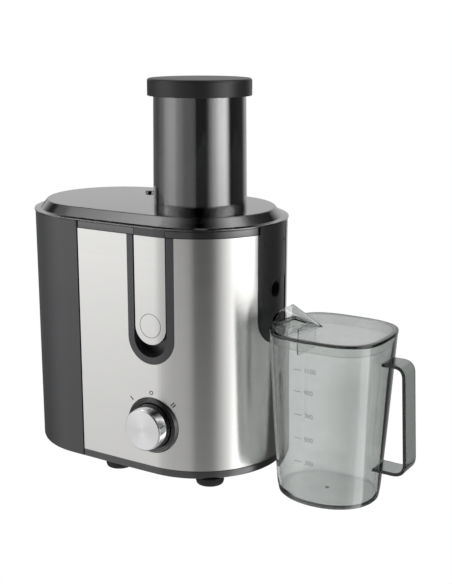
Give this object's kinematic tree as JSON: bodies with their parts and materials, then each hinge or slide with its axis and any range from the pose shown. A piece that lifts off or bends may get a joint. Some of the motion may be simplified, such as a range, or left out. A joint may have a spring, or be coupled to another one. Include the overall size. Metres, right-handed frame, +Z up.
{
  "type": "centrifugal juicer",
  "caption": "Kitchen centrifugal juicer with a wide round feed tube, side latches, a pulp container at one end, a spout at the other and a graduated jug with a lid.",
  "frame": {"origin": "centre of the bottom of the whole object's bounding box, on the worktop", "axes": "+X from the pulp container to the spout and the jug, -Y the side with the switch knob, +Z up"},
  "size_m": [0.4594, 0.21, 0.4152],
  "materials": {
    "brushed_steel": "fine horizontal brushing",
    "black_plastic": "fine matte texture",
    "charcoal_plastic": "satin",
    "gloss_black": "polished",
    "smoke_plastic": "polished, smoke tinted",
    "clear_smoke": "polished, lightly tinted",
    "rubber": "matte",
    "chrome": "polished",
    "spun_aluminium": "spun, fine concentric lines",
    "plain_steel": "bright",
    "cast_bracket": "die cast",
    "laminated_iron": "varnished laminations",
    "copper": "varnished",
    "white_plastic": "satin",
    "circuit_board": "solder resist"
  },
  "bodies": {
    "housing": {"base_tray": "black_plastic", "steel_wrap": "brushed_steel", "motor_housing": "black_plastic", "foot_front_left": "rubber", "foot_front_right": "rubber", "foot_back_left": "rubber", "foot_back_right": "rubber", "screw_front_left": "plain_steel", "screw_front_right": "plain_steel", "screw_back_left": "plain_steel", "screw_back_right": "plain_steel", "cord_gland": "rubber", "latch_bezel_front": "charcoal_plastic", "latch_bezel_back": "charcoal_plastic", "latch_pin_front": "plain_steel", "latch_pin_back": "plain_steel", "latch_spring_front": "plain_steel", "latch_spring_back": "plain_steel", "spout_bezel": "charcoal_plastic", "motor_stator": "laminated_iron", "motor_bracket_lower": "cast_bracket", "motor_bracket_upper": "cast_bracket", "bearing_lower": "plain_steel", "bearing_upper": "plain_steel", "brush_left": "copper", "brush_right": "copper", "shaft_seal": "rubber", "speed_board": "circuit_board", "dial_bezel": "gloss_black", "rotary_switch": "black_plastic", "interlock_switch": "black_plastic", "interlock_spring": "plain_steel"},
    "rotor": {"motor_shaft": "plain_steel", "rotor_core": "copper", "commutator": "copper", "cooling_fan": "white_plastic", "drive_coupling": "black_plastic"},
    "collector": {"juice_collector": "charcoal_plastic", "collector_spout": "charcoal_plastic", "collector_seal": "rubber"},
    "basket": {"basket_hub": "white_plastic", "grater_disc": "plain_steel", "filter_mesh": "plain_steel", "basket_rim": "white_plastic"},
    "cover": {"lid": "smoke_plastic"},
    "pusher": {"pusher_body": "smoke_plastic", "pusher_cap": "black_plastic"},
    "knob": {"knob": "chrome", "knob_face": "spun_aluminium"},
    "front_latch": {"latch_front": "charcoal_plastic", "latch_face_front": "brushed_steel"},
    "back_latch": {"latch_back": "charcoal_plastic", "latch_face_back": "brushed_steel"},
    "plunger": {"interlock_plunger": "white_plastic"},
    "container": {"pulp_container": "charcoal_plastic"},
    "jug": {"jug_body": "clear_smoke", "jug_handle": "clear_smoke"},
    "jug_cover": {"jug_lid": "clear_smoke", "froth_separator": "clear_smoke"}
  },
  "joints": [
    {"name": "motor_spin", "type": "hinge", "parent": "housing", "child": "rotor", "pos_m": [-0.0271, 0.00595, 0.11], "axis": [0, 0, 1], "continuous": true},
    {"name": "collector_lift", "type": "slide", "parent": "housing", "child": "collector", "axis": [0, 0, 1], "range_m": [0, 0.09]},
    {"name": "basket_spin", "type": "hinge", "parent": "collector", "child": "basket", "pos_m": [-0.0271, 0.00595, 0.22], "axis": [0, 0, 1], "continuous": true},
    {"name": "lid_lift", "type": "slide", "parent": "collector", "child": "cover", "axis": [0, 0, 1], "range_m": [0, 0.06]},
    {"name": "pusher_slide", "type": "slide", "parent": "cover", "child": "pusher", "axis": [0, 0, 1], "range_m": [0, 0.175]},
    {"name": "knob_turn", "type": "hinge", "parent": "housing", "child": "knob", "pos_m": [-0.0274, -0.09405, 0.0623], "axis": [0, -1, 0], "range_deg": [-45, 45]},
    {"name": "front_latch_swing", "type": "hinge", "parent": "housing", "child": "front_latch", "pos_m": [-0.028, -0.08155, 0.205], "axis": [1, 0, 0], "range_deg": [0, 6.5], "stiffness_Nm_per_rad": 1.5, "springref_deg": -6.88},
    {"name": "back_latch_swing", "type": "hinge", "parent": "housing", "child": "back_latch", "pos_m": [-0.028, 0.09345, 0.205], "axis": [-1, 0, 0], "range_deg": [0, 6.5], "stiffness_Nm_per_rad": 1.5, "springref_deg": -6.88},
    {"name": "interlock_press", "type": "slide", "parent": "housing", "child": "plunger", "axis": [0, 0, -1], "range_m": [0, 0.003], "stiffness_N_per_m": 120, "springref_m": -0.003, "deforming": ["interlock_spring"]},
    {"name": "container_slide", "type": "slide", "parent": "housing", "child": "container", "axis": [-1, 0, 0], "range_m": [0, 0.15]},
    {"name": "jug_slide", "type": "slide", "parent": "housing", "child": "jug", "axis": [1, 0, 0], "range_m": [-0.012, 0.2]},
    {"name": "jug_lid_lift", "type": "slide", "parent": "jug", "child": "jug_cover", "axis": [0, 0, 1], "range_m": [0, 0.05]}
  ],
  "couplings": [
    {"joint": "basket_spin", "follows": "motor_spin", "ratio": 1}
  ]
}
